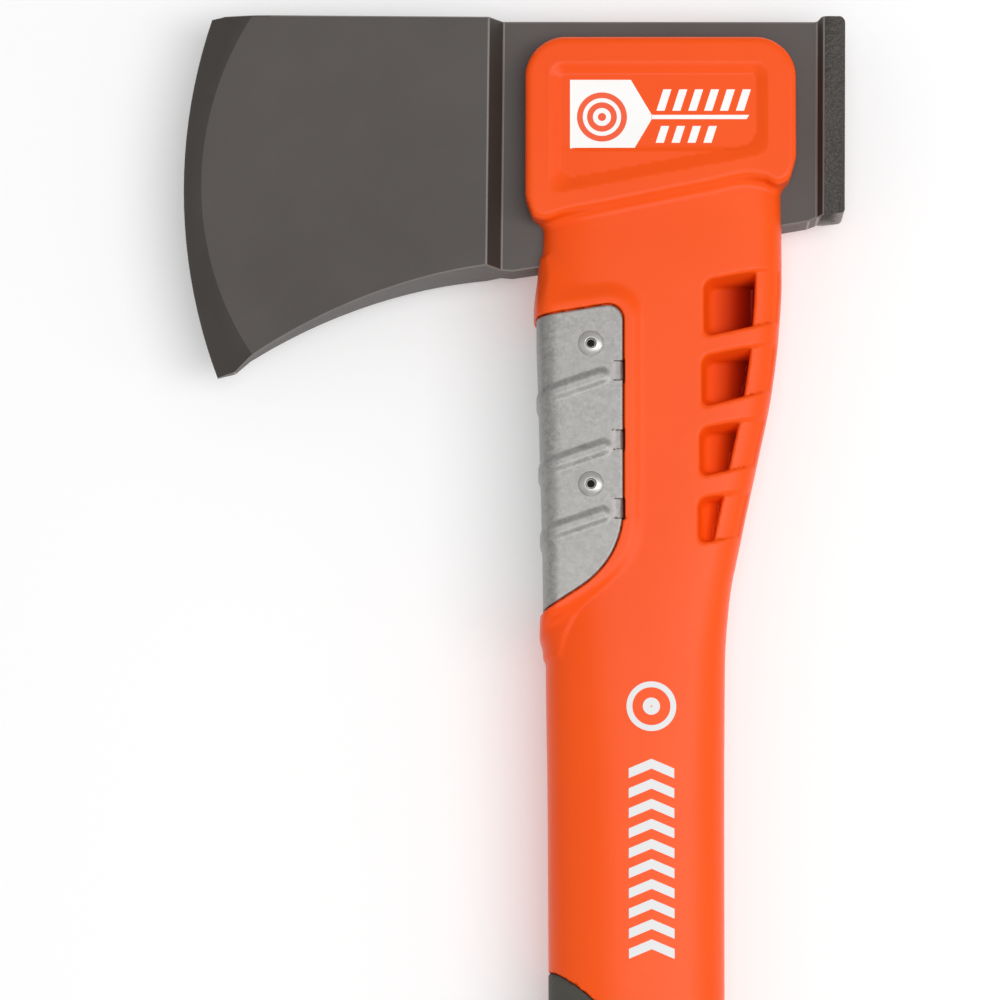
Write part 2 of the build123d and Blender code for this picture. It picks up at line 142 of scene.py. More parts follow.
# ---- printed marks ----
PRINT_THICK = 0.06
PRINT_PROUD = 0.3             # share of the thickness that the middle of a print stands over its face
TAG_PROUD = 0.6
TAG_OUTLINE = ((14.15, 263.4), (29.85, 263.4), (35.2, 272.5), (35.2, 273.8), (29.85, 282.9), (14.15, 282.9))
RULE_OUTLINE = ((35.3, 272.6), (59.7, 272.6), (60.4, 273.7), (35.3, 273.7))
TAG_CENTRE = (22.4, 273.15)
UPPER_ROW = [(38.4 + 4.1 * k, 277.6) for k in range(6)]
LOWER_ROW = [(38.0 + 4.1 * k, 268.6) for k in range(4)]
CHEVRONS = [(34.9, 60.0 + 5.1 * k) for k in range(10)]
BADGE_CENTRE = (34.9, 120.6)

# ---- windows in the neck ----
# left x, then top edge and bottom edge at the left and at WINDOW_RIGHT
WINDOWS = (
    (48.5, 230.6, 234.6, 215.9, 219.7), (47.9, 210.9, 215.2, 197.6, 202.2),
    (47.3, 192.2, 196.6, 179.6, 183.6), (46.8, 174.2, 178.4, 162.3, 165.8),
)
WINDOW_RIGHT = 66.5
WINDOW_CORNER = 2.1
WINDOW_DRAFT = 0.27
WINDOW_TOP_HALF = 13.3        # where the sloping walls start
WINDOW_EDGE_ROUND = 0.8
WINDOW_RAIL = 1.2             # what is left between the windows and the back of the neck
FLOOR_HALF = 10.2
FLOOR_SLOPE = 0.58            # the floors get deeper towards the spine
FLOOR_START_X, FLOOR_LEAST_HALF = 46.0, 1.5
# painted shade: the orange is coloured darker deep inside the windows, between these half heights
WINDOW_SHADE_START, WINDOW_SHADE_RUN = 9.0, 6.8   # half heights between which the colour darkens
SPINE_WIDTH = 7.1
SPINE_SUNK = 0.9              # how far the spine's faces lie under the neck's
SPINE_LOW_Y, SPINE_TOP_Y = 156.0, 240.0

# ---- soft grip, hanging hole and butt plug ----
GRIP_THICK = 1.6
GRIP_GAP = 0.12
GRIP_FRONT = (
    (-12.0, 55.0), (8.8, 53.2), (15.0, 50.0), (19.2, 46.7), (31.0, 35.5), (45.0, 27.0), (74.0, 22.5),
)
GRIP_LOW = -252.0
GROOVE_COUNT, GROOVE_LOW_Y, GROOVE_PITCH, GROOVE_SLOPE = 9, 232.0, 7.5, 0.22
GROOVE_DEPTH, GROOVE_HALF_WIDTH = 0.8, 1.1
GROOVE_END_X, GROOVE_FADE = 24.0, 9.0
HANG_HOLE = (7.6, -281.0)
HANG_HOLE_RADIUS = 4.5
HANG_HOLE_ROUND = 1.6
PLUG_CENTRE = 31.0
PLUG_HALF = (13.6, 7.2)
PLUG_SUNK = 1.9
PLUG_EDGE_ROUND = 0.7

# ---- meshing: grid lines as (start, end, spacing), finer where a surface shows detail ----
GRADIENT_STEP = 0.03
SETTLE_ROUNDS = 3
CELL_SLACK = 0.05
HANDLE_GRID = (
    ((-4.2, 4.0, 1.2), (4.0, 70.0, 0.7), (70.0, 74.2, 0.7)),
    ((-300.2, -252.0, 1.1), (-252.0, 18.0, 6.0), (18.0, 58.0, 1.1), (58.0, 128.0, 5.0), (128.0, 296.0, 0.72)),
    ((-18.2, -12.5, 0.62), (-12.5, 12.5, 0.9), (12.5, 18.2, 0.62)),
)
GUARD_GRID = (
    ((3.0, 29.2, 0.42),), ((142.0, 227.5, 0.45),),
    ((-16.0, -11.0, 0.4), (-11.0, 11.0, 0.8), (11.0, 16.0, 0.4)),
)
GRIP_GRID = (
    ((6.0, 56.0, 0.8),), ((-253.5, -150.0, 1.1), (-150.0, 16.0, 5.0), (16.0, 56.0, 1.0)),
    ((-16.2, 16.2, 0.8),),
)

# ---- stage, light and camera, metres in the frame ----
FLOOR_REACH = 6.0
LIGHT_TARGET = (0.0, 0.1, 0.0)
LIGHTS = (                            # name, place, size, power
    ("key_softbox", (0.45, 0.1, 1.3), (0.7, 1.4), 11.3),
    ("strip_light", (1.15, 0.05, 1.0), (0.12, 1.4), 2.4),
    ("low_fill", (0.1, -1.3, 0.45), (1.4, 0.3), 2.0),
    ("left_fill", (-1.1, 0.1, 0.9), (0.6, 1.4), 0.8),
)
WORLD_STRENGTH = 0.44
CAMERA_PLACE = (0.0094, -0.011, 1.517)
CAMERA_TILT, CAMERA_LEAN, CAMERA_ROLL = math.radians(7.04), math.radians(0.49), math.radians(0.025)
CAMERA_LENS = 210.5


# ======== smooth shape arithmetic
def track(ys, values):
    """Smooth monotone curve through stations, as a function of y."""
    order = np.argsort(ys)
    ys = np.asarray(ys, float)[order]
    vs = np.asarray(values, float)[order]
    step = np.diff(ys)
    slope = np.diff(vs) / step
    tangent = np.zeros_like(vs)
    tangent[0], tangent[-1] = slope[0], slope[-1]
    same = slope[:-1] * slope[1:] > 0
    weight = 1 / np.where(same, slope[:-1], 1) + 1 / np.where(same, slope[1:], 1)
    tangent[1:-1] = np.where(same, 2 / np.where(same, weight, 1), 0)

    def value(y):
        y = np.clip(y, ys[0], ys[-1])
        k = np.clip(np.searchsorted(ys, y, side="right") - 1, 0, len(step) - 1)
        h = step[k]
        t = (y - ys[k]) / h
        a = (1 + 2 * t) * (1 - t) ** 2 * vs[k] + t * (1 - t) ** 2 * h * tangent[k]
        return a + t * t * (3 - 2 * t) * vs[k + 1] + t * t * (t - 1) * h * tangent[k + 1]

    return value


STATION_Y = [s[0] for s in STATIONS]
left_of, right_of, half_of, power_of = (track(STATION_Y, [s[k] for s in STATIONS]) for k in (1, 2, 3, 4))


def blend_in(a, b, r):
    """Union of two shapes with a fillet of about r between them."""
    h = np.maximum(r - np.abs(a - b), 0) / r
    return np.minimum(a, b) - h * h * r * 0.25


def blend_cut(a, b, r):
    """Common part of two shapes with its edge rounded by about r."""
    return -blend_in(-a, -b, r)


def round_corner(a, b, r):
    """Common part of two half-spaces with a circular corner."""
    inner = np.minimum(np.maximum(a, b), -r)
    return inner + np.hypot(np.maximum(a + r, 0), np.maximum(b + r, 0))


def rise(t):
    """Soft step from 0 to 1."""
    t = np.clip(t, 0, 1)
    return t * t * (3 - 2 * t)


def tube(x, y, z, side=0.0, face=0.0, power=None):
    """Distance to the handle's outer surface, grown sideways and on its faces."""
    left, right = left_of(y), right_of(y)
    power = power_of(y) if power is None else power
    return oval(x - (left + right) / 2, z, (right - left) / 2 + side, half_of(y) + face, power)


def oval(dx, dz, a, b, n):
    """Distance to a superellipse with half axes a and b."""
    px = np.abs(dx) / a + 1e-6
    pz = np.abs(dz) / b + 1e-6
    g = (px ** n + pz ** n) ** (1 / n)
    slope = np.hypot((px / g) ** (n - 1) / a, (pz / g) ** (n - 1) / b)
    return (g - 1) / slope


# ======== outlines seen on the broad face
def guard_edge(x, y, gap=0.0):
    """Distance to the guard's outline on the broad face."""
    across = np.maximum(x - GUARD_CORNER_X, 0)
    high = (y - GUARD_TOP_Y - GUARD_TOP_SLOPE * across) / math.hypot(1, GUARD_TOP_SLOPE) - gap
    tilt = np.where(x > GUARD_CORNER_X, math.hypot(1, GUARD_LOW_SLOPE), 1)
    low = (GUARD_LOW_Y + GUARD_LOW_SLOPE * across - y) / tilt - gap
    right = x - GUARD_RIGHT - gap
    top = round_corner(right, high, GUARD_TOP_ROUND + gap)
    # the lower corner is wide: blend the slanting edge with the right-hand one
    return np.maximum(top, blend_cut(right, low, (GUARD_LOW_ROUND + gap) * 0.9))


def knots(points):
    """Smooth curve through (x, y) points."""
    return track([p[0] for p in points], [p[1] for p in points])


pad_foot, grip_front = knots(PAD_FOOT), knots(GRIP_FRONT)


def pad_edge(x, y):
    """Distance to the outline of the cheek pads."""
    sides = np.maximum(PAD_LEFT - x, x - PAD_RIGHT)
    upper = round_corner(sides, y - PAD_TOP, PAD_TOP_CORNER)
    return blend_cut(upper, (pad_foot(x) - y) * 0.97, PAD_FOOT_CORNER)


def panel_edge(x, y):
    """Distance to the outline of the recessed panel."""
    low = (PANEL_LOW_Y + (x - PANEL_LEFT) * PANEL_LOW_SLOPE - y) / PANEL_LOW_LENGTH
    upper = round_corner(np.maximum(PANEL_LEFT - x, x - PANEL_RIGHT), y - PANEL_TOP, PANEL_TOP_CORNER)
    return blend_cut(upper, low, PANEL_LOW_CORNER)


def bead_lift(x, y):
    """Height of the raised beads over the guard's sheet."""
    lift = 0.0
    c, s = math.cos(BEAD_SLOPE), math.sin(BEAD_SLOPE)
    for ex, ey in BEAD_ENDS:
        along = (x - ex) * c + (y - ey) * s
        across = -(x - ex) * s + (y - ey) * c
        d = np.hypot(np.maximum(along, 0), across) / BEAD_HALF_WIDTH
        lift = np.maximum(lift, BEAD_HEIGHT * (1 - rise((d - 0.25) / 0.85)))
    return lift


def grip_edge(x, y):
    """Distance to the outline of the soft grip on the broad face."""
    front = grip_front(x)
    return np.maximum((y - front) * 0.82, GRIP_LOW - y)


# ======== solids as distance fields
def window_cut(x, y, z):
    """Row of windows with sloping walls, open towards the back of the neck."""
    az = np.abs(z)
    step_in = (WINDOW_TOP_HALF - az) * WINDOW_DRAFT
    cut = 1e3
    for left, top0, top1, low0, low1 in WINDOWS:
        run = WINDOW_RIGHT - left
        top_slope, low_slope = (top1 - top0) / run, (low1 - low0) / run
        high = (y - top0 - top_slope * (x - left)) / math.hypot(1, top_slope) + step_in
        low = (low0 + low_slope * (x - left) - y) / math.hypot(1, low_slope) + step_in * 0.6
        side = left - x + step_in
        one = np.maximum(round_corner(side, high, WINDOW_CORNER), round_corner(side, low, WINDOW_CORNER))
        cut = np.minimum(cut, one)
    cut = np.maximum(cut, x - right_of(y) + WINDOW_RAIL)
    floor = np.maximum(FLOOR_HALF - (x - FLOOR_START_X) * FLOOR_SLOPE, FLOOR_LEAST_HALF)
    return blend_cut(cut, (floor - az) * 0.9, WINDOW_EDGE_ROUND)


def spine(x, y, z):
    """Bar along the back of the neck, seen inside the windows."""
    bar = round_corner(tube(x, y, z, -0.1, -SPINE_SUNK), right_of(y) - SPINE_WIDTH - x, 0.8)
    return np.maximum(bar, np.maximum(SPINE_LOW_Y - y, y - SPINE_TOP_Y))


def raised_frame(x, y, z):
    """Raised frame around the guard with sloping sides."""
    az = np.abs(z)
    d = guard_edge(x, y)
    flare = rise((FRAME_FLARE[1] - y) / (FRAME_FLARE[1] - FRAME_FLARE[0]))
    lip = rise((y - FRAME_LIP[0]) / (FRAME_LIP[1] - FRAME_LIP[0]))
    low_left = rise((32.0 - x) / 12.0) * rise((176.0 - y) / 22.0) * rise((d - 0.5) / 5.0)
    level = FRAME_HALF - 0.8 * low_left
    run, drop = FRAME_FOOT_WIDTH - FRAME_TOP_WIDTH, FRAME_HALF - FRAME_FOOT_HALF
    slope = ((d - FRAME_TOP_WIDTH) * drop + (az - level) * run) / math.hypot(run, drop)
    share = flare * lip
    square = share * (1 - low_left)
    power = power_of(y) + (GUARD_SQUARENESS - power_of(y)) * square
    grown = tube(x, y, z, FRAME_SIDE * share, FRAME_FACE * square, power)
    limits = np.maximum(np.maximum(y - FRAME_TOP_Y, FRAME_LOW_Y - y), x - FRAME_RIGHT)
    return np.maximum(blend_cut(blend_cut(grown, az - level, 0.8), slope, 0.3), limits)


def moulding(x, y, z):
    """Outer shape of the orange handle moulding."""
    az = np.abs(z)
    body = blend_cut(tube(x, y, z), BUTT_Y - y, BUTT_ROUND)
    body = np.maximum(body, y - NECK_TOP)
    body = blend_cut(body, -window_cut(x, y, z), WINDOW_EDGE_ROUND)
    body = blend_in(body, spine(x, y, z), 0.25)
    body = blend_in(body, raised_frame(x, y, z), 0.35 + 2.5 * rise((17.0 - x) / 9.0))
    inside = -panel_edge(x, y)
    sink = PANEL_DEPTH * np.clip(inside / PANEL_SLOPE, 0, 1)
    pad = round_corner(pad_edge(x, y), az - PAD_HALF, PAD_ROUND)
    pad = blend_cut(pad, (az - PAD_HALF + sink) * 0.93, 0.4)
    body = blend_in(body, pad, PAD_FILLET)
    core = tube(x, y, z, GUARD_SIDE - SHEET, GUARD_FACE - SHEET, GUARD_SQUARENESS)
    core = np.maximum(core, az - GUARD_HALF + SHEET)
    pocket = np.maximum(guard_edge(x, y, GUARD_GAP), -core - 0.05)
    body = blend_cut(body, -pocket, POCKET_EDGE_ROUND)
    for row in TAB_ROWS:
        along = np.abs(y - row) - TAB_HALF_LENGTH - SLOT_SPARE
        slot = np.maximum(along, np.abs(x - SLOT_X) - SLOT_HALF_WIDTH)
        body = np.maximum(body, -np.maximum(slot, SLOT_LOW_HALF - az))
    layer = np.maximum(grip_edge(x, y) - GRIP_GAP, -(tube(x, y, z) + GRIP_THICK) - 0.02)
    body = np.maximum(body, -layer)
    hole = np.hypot(x - HANG_HOLE[0], y - HANG_HOLE[1]) - HANG_HOLE_RADIUS
    body = blend_cut(body, -hole, HANG_HOLE_ROUND)
    mouth = oval(x - PLUG_CENTRE, z, *PLUG_HALF, 2.0)
    return blend_cut(body, -np.maximum(mouth, y - BUTT_Y - PLUG_SUNK), PLUG_EDGE_ROUND)


def guard(x, y, z):
    """Bent sheet guard with beads, rolled edge and tabs."""
    az = np.abs(z)
    outer = blend_cut(tube(x, y, z, GUARD_SIDE, GUARD_FACE, GUARD_SQUARENESS), az - GUARD_HALF, 0.8)
    middle = outer + SHEET / 2 - bead_lift(x, y)
    sheet = round_corner(np.abs(middle) - SHEET / 2, guard_edge(x, y), 0.45)
    lean = math.radians(TAB_LEAN)
    slope = (x - TAB_BEND_X) * math.sin(lean) + (az - GUARD_HALF) * math.cos(lean)
    roll = round_corner(round_corner(x - TAB_TIP_X, slope, 0.8), az - GUARD_HALF, 0.3)
    block = np.maximum(np.maximum(roll, TAB_FOOT_X - x), TAB_LOW_HALF - az)
    for row in TAB_ROWS:
        along = np.abs(y - row) - TAB_HALF_LENGTH
        over_roll = np.maximum(np.maximum(along, TAB_FOOT_X - 0.1 - x), -roll)
        sheet = np.minimum(np.maximum(sheet, -over_roll), np.maximum(block, along))
    return sheet


def grip(x, y, z):
    """Soft sleeve over the lower shaft."""
    outer = tube(x, y, z)
    edge = grip_edge(x, y)
    for n in range(GROOVE_COUNT):
        line = y + GROOVE_LOW_Y - n * GROOVE_PITCH - (x - PLUG_CENTRE) * GROOVE_SLOPE
        groove = np.exp(-(line / GROOVE_HALF_WIDTH) ** 2) * rise((GROOVE_END_X - x) / GROOVE_FADE)
        outer = outer + GROOVE_DEPTH * groove
    wall = np.maximum(outer, -(tube(x, y, z) + GRIP_THICK - 0.04))
    return round_corner(wall, edge, 0.5)


# ======== meshing
CORNERS = [(i, j, k) for i in (0, 1) for j in (0, 1) for k in (0, 1)]
EDGES = [(a, b) for a in range(8) for b in range(a + 1, 8)
         if sum(abs(p - q) for p, q in zip(CORNERS[a], CORNERS[b])) == 1]


def gradient(field, p):
    """Slope of a field at points, by central differences."""
    out = np.empty_like(p)
    for axis in range(3):
        step = np.zeros(3)
        step[axis] = GRADIENT_STEP
        ahead, behind = field(*(p + step).T), field(*(p - step).T)
        out[:, axis] = (ahead - behind) / (2 * GRADIENT_STEP)
    return out


def skin(name, field, grid):
    """Closed quad mesh of a field's zero surface on a grid with uneven steps, settled on the surface."""
    xs, ys, zs = (steps(*stretches) for stretches in grid)
    values = field(xs[:, None, None], ys[None, :, None], zs[None, None, :])
    values = np.broadcast_to(values, (len(xs), len(ys), len(zs)))
    inside = values < 0
    count = np.zeros(tuple(n - 1 for n in inside.shape), np.int8)
    for i, j, k in CORNERS:
        count += inside[i:inside.shape[0] - 1 + i, j:inside.shape[1] - 1 + j, k:inside.shape[2] - 1 + k]
    cells = np.argwhere((count > 0) & (count < 8))
    index = np.full(count.shape, -1, np.int64)
    index[tuple(cells.T)] = np.arange(len(cells))
    corner_at = np.array([[(xs, ys, zs)[a][cells[:, a] + c[a]] for a in range(3)] for c in CORNERS])
    corner_value = np.array([values[tuple((cells + corner).T)] for corner in CORNERS])
    total = np.zeros((len(cells), 3))
    hits = np.zeros(len(cells))
    for a, b in EDGES:
        va, vb = corner_value[a], corner_value[b]
        cross = (va < 0) != (vb < 0)
        t = np.where(cross, va / np.where(cross, va - vb, 1), 0)
        point = corner_at[a].T + (corner_at[b] - corner_at[a]).T * t[:, None]
        total += np.where(cross[:, None], point, 0)
        hits += cross
    points = total / hits[:, None]
    low, high = corner_at[0].T, corner_at[7].T
    slack = (high - low) * CELL_SLACK
    for _ in range(SETTLE_ROUNDS):
        slope = gradient(field, points)
        size = np.maximum((slope ** 2).sum(1), 0.05)
        points = points - slope * (field(*points.T) / size)[:, None]
        points = np.clip(points, low + slack, high - slack)
    normals = gradient(field, points)
    normals /= np.maximum(np.linalg.norm(normals, axis=1), 1e-9)[:, None]
    quads = []
    for axis in range(3):
        u, v = (axis + 1) % 3, (axis + 2) % 3
        shape = list(inside.shape)
        shape[axis] -= 1
        lower = [slice(None)] * 3
        upper = [slice(None)] * 3
        lower[axis], upper[axis] = slice(0, -1), slice(1, None)
        a, b = inside[tuple(lower)], inside[tuple(upper)]
        for flip, hit in ((False, a & ~b), (True, ~a & b)):
            at = np.argwhere(hit)
            ring = []
            for du, dv in ((-1, -1), (0, -1), (0, 0), (-1, 0)):
                cell = at.copy()
                cell[:, u] += du
                cell[:, v] += dv
                ring.append(index[tuple(cell.T)])
            if flip:
                ring.reverse()
            quads.append(np.stack(ring, 1))
    quads = np.concatenate(quads)
    return solid_mesh(name, points, quads, normals)


def to_frame(points):
    """Drawing millimetres about the mid-plane to metres in the row frame."""
    return (np.asarray(points, float) + (-MIDDLE_X, -MIDDLE_Y, MID_HEIGHT)) * MM


def solid_mesh(name, points, faces, normals=None):
    """Object with a smooth-shaded mesh, its place in its vertices."""
    mesh = bpy.data.meshes.new(name)
    mesh.from_pydata(to_frame(points).tolist(), [], [list(map(int, f)) for f in faces])
    mesh.validate()
    mesh.polygons.foreach_set("use_smooth", [True] * len(mesh.polygons))
    if normals is not None:
        mesh.normals_split_custom_set_from_vertices(normals.tolist())
    obj = bpy.data.objects.new(name, mesh)
    bpy.context.scene.collection.objects.link(obj)
    return obj


def paint_window_shade(obj):
    """Store on the mesh how deep each point lies inside a window, from 0 to 1: the share of painted shade
    there.
    """
    places = np.empty(len(obj.data.vertices) * 3)
    obj.data.vertices.foreach_get("co", places)
    x, y, z = (places.reshape(-1, 3) / MM).T
    x, y, az = x + MIDDLE_X, y + MIDDLE_Y, np.abs(z - MID_HEIGHT)
    # painted shade: grows with depth inside a window
    shade_share = rise((1.0 - window_cut(x, y, az)) / 0.4) * rise((WINDOW_SHADE_START - az) / WINDOW_SHADE_RUN)
    stored = obj.data.attributes.new("window_shade", "FLOAT", "POINT")
    stored.data.foreach_set("value", shade_share.astype(np.float32))


def steps(*stretches):
    """Grid lines from stretches of (start, end, spacing)."""
    lines = []
    for start, end, spacing in stretches:
        n = max(1, round((end - start) / spacing))
        lines.extend(start + (end - start) * k / n for k in range(n))
    lines.append(stretches[-1][1])
    return np.array(lines)


# ======== shader groups and materials
def node_group(name, inputs, outputs):
    """Empty shader group with number inputs and the given outputs."""
    group = bpy.data.node_groups.new(name, "ShaderNodeTree")
    for label, value in inputs:
        socket = group.interface.new_socket(label, in_out="INPUT", socket_type="NodeSocketFloat")
        socket.default_value = value
    for label, kind in outputs:
        group.interface.new_socket(label, in_out="OUTPUT", socket_type=kind)
    return group, group.nodes.new("NodeGroupInput"), group.nodes.new("NodeGroupOutput")


def add(tree, kind, links=None, **settings):
    """Node with its settings, and its sockets linked to sockets or set to values."""
    node = tree.nodes.new(kind)
    for label, value in settings.items():
        setattr(node, label, value)
    for label, value in (links or {}).items():
        if isinstance(value, bpy.types.NodeSocket):
            tree.links.new(value, node.inputs[label])
        else:
            node.inputs[label].default_value = value
    return node


def sums(tree, kind, *values):
    """Math node; each value is a socket or a number."""
    return add(tree, "ShaderNodeMath", dict(enumerate(values)), operation=kind).outputs[0]


def noise(tree, vector, scale, detail=3.0, roughness=0.5):
    """Noise factor on a vector; scale may be a socket."""
    return add(tree, "ShaderNodeTexNoise", {
        "Vector": vector, "Scale": scale, "Detail": detail, "Roughness": roughness}).outputs["Fac"]


def ramp(tree, factor, low, high, start, end):
    """Map Range from one span to another."""
    return add(tree, "ShaderNodeMapRange", {
        "Value": factor, "From Min": low, "From Max": high, "To Min": start, "To Max": end}).outputs[0]


def object_place(tree):
    """Object coordinates."""
    return add(tree, "ShaderNodeTexCoord").outputs["Object"]


def grain_group():
    """Fine moulded or cast grain: a height and a mask of the same grain."""
    group, source, sink = node_group(
        "surface_grain", (("Scale", 1500.0), ("Coarse Scale", 300.0), ("Coarse Share", 0.3)),
        (("Height", "NodeSocketFloat"), ("Mask", "NodeSocketFloat")))
    place = object_place(group)
    fine = noise(group, place, source.outputs["Scale"], 2.0, 0.55)
    coarse = noise(group, place, source.outputs["Coarse Scale"], 3.0, 0.5)
    share = sums(group, "MULTIPLY", coarse, source.outputs["Coarse Share"])
    group.links.new(sums(group, "ADD", fine, share), sink.inputs["Height"])
    group.links.new(ramp(group, fine, 0.35, 0.65, 0.0, 1.0), sink.inputs["Mask"])
    return group


def handling_group():
    """Broad uneven patches left by handling and dust."""
    group, source, sink = node_group(
        "handling_marks", (("Scale", 18.0), ("Low", 0.0), ("High", 1.0)), (("Factor", "NodeSocketFloat"),))
    place = object_place(group)
    patches = noise(group, place, source.outputs["Scale"], 5.0, 0.6)
    factor = ramp(group, patches, 0.3, 0.7, source.outputs["Low"], source.outputs["High"])
    group.links.new(factor, sink.inputs["Factor"])
    return group


def seam_group():
    """Thin raised line along the mid-plane, where two dies or mould halves meet."""
    group, source, sink = node_group(
        "parting_line", (("Half Width", 0.00025),), (("Mask", "NodeSocketFloat"),))
    place = object_place(group)
    height = add(group, "ShaderNodeSeparateXYZ", {0: place}).outputs["Z"]
    away = sums(group, "ABSOLUTE", sums(group, "SUBTRACT", height, MID_HEIGHT * MM))
    share = sums(group, "DIVIDE", away, source.outputs["Half Width"])
    group.links.new(ramp(group, share, 0.6, 1.2, 1.0, 0.0), sink.inputs["Mask"])
    return group


GRAIN, HANDLING, SEAM = grain_group(), handling_group(), seam_group()


def use_group(tree, group, **values):
    """Place a shared group in a material with its own values."""
    inputs = {label.replace("_", " "): value for label, value in values.items()}
    return add(tree, "ShaderNodeGroup", inputs, node_tree=group)


def finish_material(name, **shader):
    """Material with a Principled shader whose plain values are set on its sockets."""
    material = bpy.data.materials.new(name)
    material.use_nodes = True
    tree = material.node_tree
    principled = tree.nodes["Principled BSDF"]
    for label, value in shader.items():
        principled.inputs[label.replace("_", " ")].default_value = value
    return material, tree, principled


def mix_colour(tree, factor, a, b):
    """Colour between a and b, each a socket or a linear colour, by a factor."""
    ends = {"A": a, "B": b}
    for label, value in ends.items():
        if isinstance(value, tuple):
            ends[label] = (*value, 1.0)
    return add(tree, "ShaderNodeMix", {"Factor": factor, **ends}, data_type="RGBA").outputs["Result"]


def bump(tree, height, strength, distance, normal=None):
    """Bump from a height, on top of another bump's normal if one is given."""
    node = add(tree, "ShaderNodeBump", {"Strength": strength, "Distance": distance, "Height": height})
    if normal is not None:
        tree.links.new(normal, node.inputs["Normal"])
    return node.outputs["Normal"]


def linear(hex_colour):
    """Linear colour from an sRGB hex string."""
    parts = [int(hex_colour[i:i + 2], 16) / 255 for i in (0, 2, 4)]
    return tuple(c / 12.92 if c <= 0.04045 else ((c + 0.055) / 1.055) ** 2.4 for c in parts)


def coated_steel(name, dark, light, base_roughness, hammered=False):
    """Dark satin coating on forged steel, mottled between two hex colours."""
    material, tree, shader = finish_material(name, Metallic=0.08, Specular_IOR_Level=0.35)
    patches = use_group(tree, HANDLING, Scale=22.0)
    colour = mix_colour(tree, patches.outputs["Factor"], linear(dark), linear(light))
    tree.links.new(colour, shader.inputs["Base Color"])
    grain = use_group(tree, GRAIN, Scale=2600.0, Coarse_Scale=420.0, Coarse_Share=0.5)
    rough = ramp(tree, grain.outputs["Mask"], 0, 1, base_roughness - 0.04, base_roughness + 0.05)
    tree.links.new(rough, shader.inputs["Roughness"])
    normal = bump(tree, grain.outputs["Height"], 0.22, 0.00005)
    seam = use_group(tree, SEAM, Half_Width=0.0003)
    normal = bump(tree, seam.outputs["Mask"], 0.5, 0.00015, normal)
    if hammered:
        dents = noise(tree, object_place(tree), 1100.0, 3.0, 0.55)
        normal = bump(tree, dents, 0.9, 0.0006, normal)
    tree.links.new(normal, shader.inputs["Normal"])
    return material


def orange_nylon():
    """Orange moulded nylon with a fine eroded grain, and painted shade darkening it deep inside the windows.
    """
    material, tree, shader = finish_material("orange_nylon", Specular_IOR_Level=0.2)
    patches = use_group(tree, HANDLING, Scale=14.0)
    colour = mix_colour(tree, patches.outputs["Factor"], linear("F4500C"), linear("F85710"))
    window_shade = add(tree, "ShaderNodeAttribute", attribute_name="window_shade").outputs["Fac"]
    # painted shade: dark red mixed into the orange deep inside the windows
    colour = mix_colour(tree, window_shade, colour, linear("A01C04"))
    tree.links.new(colour, shader.inputs["Base Color"])
    grain = use_group(tree, GRAIN, Scale=1700.0, Coarse_Scale=260.0, Coarse_Share=0.35)
    tree.links.new(ramp(tree, grain.outputs["Mask"], 0, 1, 0.30, 0.40), shader.inputs["Roughness"])
    normal = bump(tree, grain.outputs["Height"], 0.16, 0.00006)
    seam = use_group(tree, SEAM, Half_Width=0.0002)
    tree.links.new(bump(tree, seam.outputs["Mask"], 0.4, 0.00012, normal), shader.inputs["Normal"])
    return material


def galvanised():
    """Galvanised sheet with spangle."""
    material, tree, shader = finish_material("galvanised_sheet", Metallic=0.45)
    place = object_place(tree)
    wobble = add(tree, "ShaderNodeTexNoise", {"Vector": place, "Scale": 700.0}).outputs["Color"]
    shift = add(tree, "ShaderNodeVectorMath", {0: wobble, "Scale": 0.003}, operation="SCALE").outputs[0]
    bent_place = add(tree, "ShaderNodeVectorMath", {0: place, 1: shift}, operation="ADD").outputs[0]
    cells = add(tree, "ShaderNodeTexVoronoi", {"Vector": bent_place, "Scale": 900.0}).outputs["Color"]
    shade = add(tree, "ShaderNodeSeparateColor", {0: cells}).outputs["Red"]
    spangle = sums(tree, "MULTIPLY", shade, 0.3)
    fleck = sums(tree, "MULTIPLY", noise(tree, place, 950.0, 5.0, 0.75), 0.7)
    mixed = sums(tree, "ADD", spangle, fleck)
    colour = mix_colour(tree, mixed, linear("767472"), linear("B2B0AD"))
    tree.links.new(colour, shader.inputs["Base Color"])
    tree.links.new(ramp(tree, mixed, 0, 1, 0.34, 0.52), shader.inputs["Roughness"])
    grain = use_group(tree, GRAIN, Scale=1500.0, Coarse_Scale=240.0, Coarse_Share=0.8)
    tree.links.new(bump(tree, grain.outputs["Height"], 0.25, 0.00008), shader.inputs["Normal"])
    return material


def simple_finish(name, dark, light, rough, grain_scale, strength, distance, **shader_values):
    """Material with a colour mottled between two hex colours, uneven roughness and grain."""
    material, tree, shader = finish_material(name, **shader_values)
    patches = use_group(tree, HANDLING, Scale=45.0)
    colour = mix_colour(tree, patches.outputs["Factor"], linear(dark), linear(light))
    tree.links.new(colour, shader.inputs["Base Color"])
    grain = use_group(tree, GRAIN, Scale=grain_scale, Coarse_Scale=grain_scale / 5, Coarse_Share=0.4)
    tree.links.new(ramp(tree, grain.outputs["Mask"], 0, 1, rough[0], rough[1]), shader.inputs["Roughness"])
    tree.links.new(bump(tree, grain.outputs["Height"], strength, distance), shader.inputs["Normal"])
    return material


